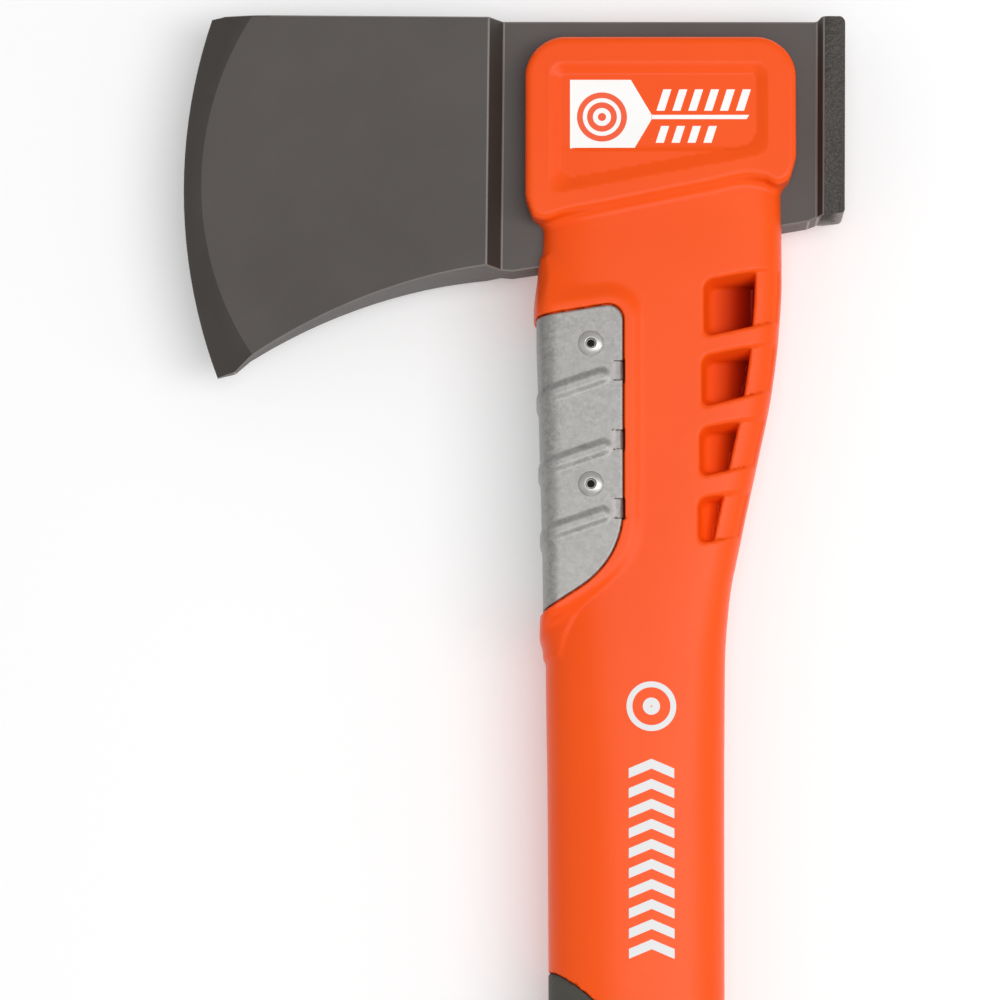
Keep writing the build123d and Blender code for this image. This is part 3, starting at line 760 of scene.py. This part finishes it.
BLADE_COAT = coated_steel("coated_steel", "514C4A", "595451", 0.52)
# painted shade: the ground bevel is coloured darker where it tilts away from the light
BEVEL_SHADE_COAT = coated_steel("coated_steel_bevel", "3C3835", "44403D", 0.46)
# painted highlight: the rounded edges of the head are coloured lighter
EDGE_HIGHLIGHT_COAT = coated_steel("coated_steel_edges", "716C68", "817C78", 0.36)
# painted shade: the sloped steps of the head are coloured darker
STEP_SHADE_COAT = coated_steel("coated_steel_steps", "36322F", "403B37", 0.45)
POLL_COAT = coated_steel("coated_steel_hammered", "3A3734", "47433F", 0.3, hammered=True)
ORANGE = orange_nylon()
SHEET_METAL = galvanised()
GRIP_RUBBER = simple_finish("grip_rubber", "403E38", "49463F", (0.62, 0.78), 1900.0, 0.3, 0.00010)
RIVET_METAL = simple_finish(
    "rivet_metal", "B5B4B1", "CDCCC9", (0.34, 0.46), 900.0, 0.12, 0.00005, Metallic=0.8)
# partly painted shade: the mandrels are real, but coloured near black to stand for the shade inside the rivet
# holes
SHADED_MANDREL = simple_finish(
    "mandrel_steel", "0C0C0B", "141312", (0.6, 0.75), 1500.0, 0.2, 0.00008, Specular_IOR_Level=0.2)
PRINT_WHITE = simple_finish("print_white", "F4F3F1", "FBFAF8", (0.4, 0.52), 2200.0, 0.08, 0.00004)
PRINT_ORANGE = simple_finish("print_orange", "EE4F1A", "F45820", (0.4, 0.52), 2200.0, 0.08, 0.00004)
PLUG_PLASTIC = simple_finish("dark_plastic", "1E1E1E", "2A2A29", (0.45, 0.6), 1500.0, 0.25, 0.00008)


def coat(obj, *materials):
    """Give a mesh its materials."""
    obj.data.materials.clear()
    for material in materials:
        obj.data.materials.append(material)
    return obj


# ======== pieces
def forged_head():
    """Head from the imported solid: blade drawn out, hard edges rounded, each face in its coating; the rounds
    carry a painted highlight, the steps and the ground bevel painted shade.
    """
    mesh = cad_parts["axe_head"].data.copy()
    work = bmesh.new()
    work.from_mesh(mesh)
    bmesh.ops.remove_doubles(work, verts=work.verts, dist=1e-6)
    bmesh.ops.dissolve_limit(work, angle_limit=FLAT_ANGLE, verts=work.verts, edges=work.edges)
    heavy = work.edges.layers.float.new("bevel_weight_edge")
    for v in work.verts:
        x, y, z = v.co.x / MM + MIDDLE_X, v.co.y / MM + MIDDLE_Y, v.co.z / MM - MID_HEIGHT
        if abs(x - POLL_STEP_X) < 1.1 and abs(z) < POLL_STEP_HALF:
            v.co.x += POLL_STEP_MOVE * MM
        flare = min(max((BLADE_FLARE_X - x) / BLADE_FLARE_RUN, 0.0), 1.0)
        share = (y - BLADE_LOW_Y) / BLADE_TALL
        v.co.y += flare * (BLADE_DROP + (BLADE_RISE - BLADE_DROP) * share) * MM
    for edge in work.edges:
        if len(edge.link_faces) != 2 or edge.calc_face_angle() < HARD_ANGLE:
            continue
        at_cutting_edge = max(abs(v.co.z / MM - MID_HEIGHT) for v in edge.verts) < 0.8
        at_poll_face = max(v.co.x for v in edge.verts) > (POLL_FACE_X - MIDDLE_X) * MM
        if at_cutting_edge or at_poll_face:
            edge.smooth = False
        else:
            edge[heavy] = 1.0
    for face in work.faces:
        face.smooth = True
    work.to_mesh(mesh)
    work.free()
    mesh.name = "forged_head"
    head = bpy.data.objects.new("forged_head", mesh)
    bpy.context.scene.collection.objects.link(head)
    coat(head, BLADE_COAT, BEVEL_SHADE_COAT, POLL_COAT, EDGE_HIGHLIGHT_COAT, STEP_SHADE_COAT)
    rounding = head.modifiers.new("soft_edges", "BEVEL")
    rounding.width = EDGE_ROUND * MM
    rounding.segments = 4
    rounding.limit_method = "WEIGHT"
    rounding.use_clamp_overlap = False
    # the rounds get the lighter coat, a painted highlight
    rounding.material = EDGE_HIGHLIGHT_SLOT
    even = head.modifiers.new("flat_faces", "WEIGHTED_NORMAL")
    even.weight = 100
    even.keep_sharp = True
    head = baked(head, "forged_head")
    centre = Vector(((EDGE_CENTRE[0] - MIDDLE_X) * MM, (EDGE_CENTRE[1] - MIDDLE_Y) * MM, 0))
    for face in head.data.polygons:
        place, tilt = face.center, abs(face.normal.z)
        out = (Vector((place.x, place.y, 0)) - centre).length / MM
        # the ground bevel gets the darker coat: painted shade
        if place.x < BEVEL_RIGHT and BEVEL_TILT[0] < tilt < BEVEL_TILT[1] and out > BEVEL_RADIUS:
            face.material_index = BEVEL_SHADE_SLOT
        elif place.x > (HAMMERED_X - MIDDLE_X) * MM:
            face.material_index = POLL_SLOT
        # the rounds keep the lighter coat: painted highlight
        elif face.material_index == EDGE_HIGHLIGHT_SLOT:
            continue
        # sloped steps get the darker coat: painted shade
        elif SHADED_STEP_TILT[0] < tilt < SHADED_STEP_TILT[1]:
            face.material_index = STEP_SHADE_SLOT
        else:
            face.material_index = BLADE_SLOT
    return head


def baked(obj, name):
    """Plain mesh object from an object with modifiers, which is removed."""
    graph = bpy.context.evaluated_depsgraph_get()
    mesh = bpy.data.meshes.new_from_object(obj.evaluated_get(graph), depsgraph=graph)
    mesh.name = name
    bpy.data.objects.remove(obj)
    result = bpy.data.objects.new(name, mesh)
    bpy.context.scene.collection.objects.link(result)
    return result


# ======== repeated pieces, as node trees
def shape_tree(name, inputs):
    """Geometry tree with named inputs: (label, socket type, value)."""
    tree = bpy.data.node_groups.new(name, "GeometryNodeTree")
    tree.interface.new_socket("Geometry", in_out="INPUT", socket_type="NodeSocketGeometry")
    for label, kind, value in inputs:
        socket = tree.interface.new_socket(label, in_out="INPUT", socket_type="NodeSocket" + kind)
        if value is not None:
            socket.default_value = value
    tree.interface.new_socket("Geometry", in_out="OUTPUT", socket_type="NodeSocketGeometry")
    return tree, tree.nodes.new("NodeGroupInput").outputs, tree.nodes.new("NodeGroupOutput").inputs


def finish_tree(tree, shape, material, sink):
    """Realize, shade smooth and give the material."""
    real = add(tree, "GeometryNodeRealizeInstances", {"Geometry": shape})
    smooth = add(tree, "GeometryNodeSetShadeSmooth", {"Geometry": real.outputs[0], "Shade Smooth": True})
    dressed = add(tree, "GeometryNodeSetMaterial", {"Geometry": smooth.outputs[0], "Material": material})
    tree.links.new(dressed.outputs[0], sink["Geometry"])


def rivet_tree():
    """A turned head on every point, crowned and with a hole; points under the mid-plane face down."""
    tree, given, sink = shape_tree("turned_heads", (
        ("Radius", "Float", 0.003), ("Crown", "Float", 0.001), ("Skirt", "Float", 0.001),
        ("Fullness", "Float", 0.6), ("Hole Radius", "Float", 0.001), ("Hole Depth", "Float", 0.001),
        ("Middle Height", "Float", 0.017), ("Material", "Material", None)))
    post = add(tree, "GeometryNodeMeshCylinder", {
        "Vertices": 48, "Side Segments": 1, "Fill Segments": 24,
        "Radius": given["Radius"], "Depth": given["Skirt"],
    }, fill_type="TRIANGLE_FAN")
    place = add(tree, "ShaderNodeSeparateXYZ", {0: add(tree, "GeometryNodeInputPosition").outputs[0]}).outputs
    away = sums(tree, "SQRT", sums(tree, "ADD", sums(tree, "MULTIPLY", place["X"], place["X"]),
                                   sums(tree, "MULTIPLY", place["Y"], place["Y"])))
    share = sums(tree, "DIVIDE", away, given["Radius"])
    fall = sums(tree, "MAXIMUM", sums(tree, "SUBTRACT", 1.0, sums(tree, "MULTIPLY", share, share)), 0.0)
    crown = sums(tree, "MULTIPLY", sums(tree, "POWER", fall, given["Fullness"]), given["Crown"])
    dip = add(tree, "ShaderNodeMapRange", {
        "Value": sums(tree, "DIVIDE", away, sums(tree, "MAXIMUM", given["Hole Radius"], 1e-6)),
        "From Min": 0.8, "From Max": 1.25, "To Min": 1.0, "To Max": 0.0,
    }, interpolation_type="SMOOTHSTEP").outputs[0]
    height = sums(tree, "SUBTRACT", crown, sums(tree, "MULTIPLY", dip, given["Hole Depth"]))
    is_top = add(tree, "FunctionNodeCompare", {"A": place["Z"], "B": 0.0},
                 data_type="FLOAT", operation="GREATER_THAN")
    lift = add(tree, "ShaderNodeCombineXYZ", {"Z": height}).outputs[0]
    head = add(tree, "GeometryNodeSetPosition", {
        "Geometry": post.outputs["Mesh"], "Selection": is_top.outputs[0], "Offset": lift})
    point = add(tree, "ShaderNodeSeparateXYZ", {0: add(tree, "GeometryNodeInputPosition").outputs[0]}).outputs
    below = add(tree, "FunctionNodeCompare", {"A": point["Z"], "B": given["Middle Height"]},
                data_type="FLOAT", operation="LESS_THAN")
    half_turn = sums(tree, "MULTIPLY", below.outputs[0], math.pi)
    turn = add(tree, "ShaderNodeCombineXYZ", {"X": half_turn}).outputs[0]
    facing = add(tree, "FunctionNodeEulerToRotation", {0: turn})
    many = add(tree, "GeometryNodeInstanceOnPoints", {
        "Points": given["Geometry"], "Instance": head.outputs[0], "Rotation": facing.outputs[0]})
    finish_tree(tree, many.outputs[0], given["Material"], sink)
    return tree


def mark_tree():
    """A thin bar on every point, sheared by Slant and bent to a chevron by Peak."""
    tree, given, sink = shape_tree("printed_bars", (
        ("Width", "Float", 0.002), ("Height", "Float", 0.002), ("Thickness", "Float", 0.0001),
        ("Slant", "Float", 0.0), ("Peak", "Float", 0.0), ("Material", "Material", None)))
    size = add(tree, "ShaderNodeCombineXYZ", {
        "X": given["Width"], "Y": given["Height"], "Z": given["Thickness"]})
    block = add(tree, "GeometryNodeMeshCube", {
        "Size": size.outputs[0], "Vertices X": 17, "Vertices Y": 5, "Vertices Z": 2})
    place = add(tree, "ShaderNodeSeparateXYZ", {0: add(tree, "GeometryNodeInputPosition").outputs[0]}).outputs
    peak = sums(tree, "MULTIPLY", sums(tree, "ABSOLUTE", place["X"]), given["Peak"])
    shear = sums(tree, "MULTIPLY", place["Y"], given["Slant"])
    move = add(tree, "ShaderNodeCombineXYZ", {"X": shear, "Y": peak})
    bar = add(tree, "GeometryNodeSetPosition", {"Geometry": block.outputs["Mesh"], "Offset": move.outputs[0]})
    many = add(tree, "GeometryNodeInstanceOnPoints", {
        "Points": given["Geometry"], "Instance": bar.outputs[0]})
    finish_tree(tree, many.outputs[0], given["Material"], sink)
    return tree


def ring_tree():
    """A thin flat ring on every point, its size scaled by the point's radius attribute."""
    tree, given, sink = shape_tree("printed_rings", (
        ("Width", "Float", 0.001), ("Thickness", "Float", 0.0001), ("Material", "Material", None)))
    radius = add(tree, "GeometryNodeInputNamedAttribute", {"Name": "ring_radius"}, data_type="FLOAT")
    loop = add(tree, "GeometryNodeCurvePrimitiveCircle", {"Resolution": 72, "Radius": 1.0})
    loops = add(tree, "GeometryNodeInstanceOnPoints", {
        "Points": given["Geometry"], "Instance": loop.outputs[0], "Scale": radius.outputs[0]})
    real = add(tree, "GeometryNodeRealizeInstances", {"Geometry": loops.outputs[0]})
    section = add(tree, "GeometryNodeCurvePrimitiveQuadrilateral", {
        "Width": given["Width"], "Height": given["Thickness"]})
    band = add(tree, "GeometryNodeCurveToMesh", {
        "Curve": real.outputs[0], "Profile Curve": section.outputs[0]})
    finish_tree(tree, band.outputs[0], given["Material"], sink)
    return tree


def grown(name, tree, points, attributes=None, **values):
    """Plain mesh object of a tree run on loose points."""
    mesh = bpy.data.meshes.new(name + "_points")
    mesh.from_pydata([tuple(p) for p in points], [], [])
    for label, numbers in (attributes or {}).items():
        mesh.attributes.new(label, "FLOAT", "POINT").data.foreach_set("value", numbers)
    obj = bpy.data.objects.new(name, mesh)
    bpy.context.scene.collection.objects.link(obj)
    modifier = obj.modifiers.new("build", "NODES")
    modifier.node_group = tree
    for item in tree.interface.items_tree:
        key = item.name.replace(" ", "_").lower()
        if item.in_out == "INPUT" and key in values:
            modifier[item.identifier] = values[key]
    return baked(obj, name)


def face_height(x, y):
    """Height of the plain handle's broad face over the mid-plane."""
    left, right = left_of(y), right_of(y)
    power = power_of(y)
    share = np.abs(x - (left + right) / 2) / ((right - left) / 2)
    return half_of(y) * np.maximum(1 - share ** power, 0) ** (1 / power)


def laid_on_both_faces(obj, height):
    """Lay flat pieces, drawn about z = 0 in drawing metres, on both broad faces at a height(x, y)."""
    work = bmesh.new()
    work.from_mesh(obj.data)
    twin = work.copy()
    for side, shape in ((1, work), (-1, twin)):
        for v in shape.verts:
            x, y = v.co.x / MM, v.co.y / MM
            v.co = to_frame((x, y, side * (float(height(x, y)) + v.co.z / MM)))
        if side < 0:
            bmesh.ops.reverse_faces(shape, faces=shape.faces)
    other = bpy.data.meshes.new("twin")
    twin.to_mesh(other)
    work.from_mesh(other)
    bpy.data.meshes.remove(other)
    work.to_mesh(obj.data)
    work.free()
    twin.free()
    for face in obj.data.polygons:
        face.use_smooth = False
    return obj


def joined(name, parts):
    """One mesh object from several that share a material."""
    work = bmesh.new()
    for part in parts:
        work.from_mesh(part.data)
    mesh = bpy.data.meshes.new(name)
    work.to_mesh(mesh)
    work.free()
    mesh.materials.append(parts[0].data.materials[0])
    for part in parts:
        bpy.data.objects.remove(part)
    obj = bpy.data.objects.new(name, mesh)
    bpy.context.scene.collection.objects.link(obj)
    return obj


def flat_plate(name, outline, material):
    """Thin plate with a straight-sided outline, drawn about z = 0 in drawing metres."""
    n = len(outline)
    points = [(x * MM, y * MM, side * PRINT_THICK / 2 * MM) for side in (-1, 1) for x, y in outline]
    faces = [tuple(reversed(range(n))), tuple(range(n, 2 * n))]
    faces += [(k, (k + 1) % n, n + (k + 1) % n, n + k) for k in range(n)]
    mesh = bpy.data.meshes.new(name)
    mesh.from_pydata(points, [], faces)
    mesh.materials.append(material)
    obj = bpy.data.objects.new(name, mesh)
    bpy.context.scene.collection.objects.link(obj)
    return obj


def bars(name, places, width, height, slant, peak):
    """White printed bars at drawing places."""
    points = [(x * MM, y * MM, 0) for x, y in places]
    return grown(name, BAR_TREE, points, width=width * MM, height=height * MM,
                 thickness=PRINT_THICK * MM, slant=slant, peak=peak, material=PRINT_WHITE)


def rings(name, centre, radii, width, material):
    """Printed rings about a drawing place."""
    points = [(centre[0] * MM, centre[1] * MM, 0)] * len(radii)
    return grown(name, RING_TREE, points, {"ring_radius": [r * MM for r in radii]},
                 width=width * MM, thickness=PRINT_THICK * MM, material=material)


RIVET_TREE, BAR_TREE, RING_TREE = rivet_tree(), mark_tree(), ring_tree()
head_height = GUARD_HALF + 0.1 - RIVET_SKIRT / 2
rivet_points = [to_frame((x, y, side * head_height)) for side in (1, -1) for x, y in RIVET_SPOTS]
rivet_heads = grown(
    "rivet_heads", RIVET_TREE, rivet_points, radius=DOME_RADIUS * MM, crown=DOME_HEIGHT * MM,
    skirt=RIVET_SKIRT * MM, fullness=0.75, hole_radius=1.15 * MM, hole_depth=2.4 * MM,
    middle_height=MID_HEIGHT * MM, material=RIVET_METAL)
# near-black mandrel tops: painted shade of the rivet holes
pin_points = [to_frame((x, y, side * (GUARD_HALF - PIN_SUNK))) for side in (1, -1) for x, y in RIVET_SPOTS]
rivet_pins = grown(
    "rivet_pins", RIVET_TREE, pin_points, radius=0.98 * MM, crown=0.12 * MM, skirt=0.9 * MM, fullness=1.0,
    hole_radius=0.2 * MM, hole_depth=0.1 * MM, middle_height=MID_HEIGHT * MM, material=SHADED_MANDREL)

panel_face = PAD_HALF - PANEL_DEPTH
panel_print = joined("panel_print", [
    flat_plate("tag_plate", TAG_OUTLINE, PRINT_WHITE),
    flat_plate("tag_rule", RULE_OUTLINE, PRINT_WHITE),
    bars("upper_row", UPPER_ROW, 2.1, 5.6, 0.32, 0.0),
    bars("lower_row", LOWER_ROW, 2.1, 4.4, 0.32, 0.0),
])
laid_on_both_faces(panel_print, lambda x, y: panel_face + PRINT_THICK * PRINT_PROUD)
tag_symbol = joined("tag_symbol", [
    rings("tag_symbol", TAG_CENTRE, (5.7, 3.1), 1.5, PRINT_ORANGE),
    rings("tag_heart", TAG_CENTRE, (0.55,), 1.0, PRINT_ORANGE),
])
laid_on_both_faces(tag_symbol, lambda x, y: panel_face + PRINT_THICK * TAG_PROUD)
shaft_print = joined("shaft_print", [
    bars("chevrons", CHEVRONS, 11.6, 2.5, 0.0, -0.42),
    rings("badge", BADGE_CENTRE, (5.6,), 1.5, PRINT_WHITE),
    rings("badge_heart", BADGE_CENTRE, (1.2,), 2.0, PRINT_WHITE),
])
laid_on_both_faces(shaft_print, lambda x, y: face_height(x, y) + PRINT_THICK * PRINT_PROUD)

handle = coat(skin("moulded_handle", moulding, HANDLE_GRID), ORANGE)
# painted shade deep in the windows, stored on the handle's points
paint_window_shade(handle)
guard_piece = coat(skin("sheet_guard", guard, GUARD_GRID), SHEET_METAL)
grip_piece = coat(skin("grip_sleeve", grip, GRIP_GRID), GRIP_RUBBER)
head_piece = forged_head()

for piece, node, material_slot in (
    (handle, ["handle_body"], "orange_nylon"), (guard_piece, ["overstrike_guard"], "galvanised_sheet"),
    (grip_piece, ["soft_grip"], "grip_rubber"), (head_piece, ["axe_head"], "forged_steel"),
    (rivet_heads, [f"rivet_{k}" for k in (1, 2, 3, 4)], "rivet_metal"),
    (rivet_pins, [f"rivet_mandrel_{k}" for k in (1, 2, 3, 4)], "mandrel_steel"),
):
    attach(piece, "root")
    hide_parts(*node)

for piece in (panel_print, tag_symbol, shaft_print):
    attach(piece, "root")

coat(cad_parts["butt_plug"], PLUG_PLASTIC)


# ======== stage, light and camera
def pale_floor():
    """Plain white floor."""
    mesh = bpy.data.meshes.new("floor")
    corners = [(i * FLOOR_REACH, j * FLOOR_REACH, 0) for i, j in ((-1, -1), (1, -1), (1, 1), (-1, 1))]
    mesh.from_pydata(corners, [], [(0, 1, 2, 3)])
    floor = bpy.data.objects.new("floor", mesh)
    bpy.context.scene.collection.objects.link(floor)
    material, _, shader = finish_material("floor_white", Roughness=0.9, Specular_IOR_Level=0.1)
    shader.inputs["Base Color"].default_value = (0.77, 0.77, 0.77, 1)
    shader.inputs["Emission Color"].default_value = (1.0, 1.0, 1.0, 1)
    shader.inputs["Emission Strength"].default_value = 0.24
    coat(floor, material)


def area_light(name, place, size, power):
    """Soft rectangular light aimed at the axe."""
    data = bpy.data.lights.new(name, "AREA")
    data.shape = "RECTANGLE"
    data.size, data.size_y = size
    data.energy = power
    lamp = bpy.data.objects.new(name, data)
    lamp.location = place
    lamp.rotation_euler = (Vector(LIGHT_TARGET) - Vector(place)).to_track_quat("-Z", "Y").to_euler()
    bpy.context.scene.collection.objects.link(lamp)


pale_floor()
for light in LIGHTS:
    area_light(*light)
world = bpy.data.worlds.new("studio")
world.use_nodes = True
background = world.node_tree.nodes["Background"].inputs
background["Color"].default_value = (1.0, 1.0, 1.0, 1)
background["Strength"].default_value = WORLD_STRENGTH
bpy.context.scene.world = world
bpy.context.scene.view_settings.view_transform = "Standard"

camera_data = bpy.data.cameras.new("camera")
camera_data.sensor_width = 36.0
camera_data.lens = CAMERA_LENS
camera_data.clip_start, camera_data.clip_end = 0.05, 20.0
camera = bpy.data.objects.new("camera", camera_data)
turn = (Matrix.Rotation(CAMERA_TILT, 4, "X") @ Matrix.Rotation(CAMERA_LEAN, 4, "Y")
        @ Matrix.Rotation(CAMERA_ROLL, 4, "Z"))
camera.matrix_world = Matrix.Translation(CAMERA_PLACE) @ turn
bpy.context.scene.collection.objects.link(camera)
bpy.context.scene.camera = camera
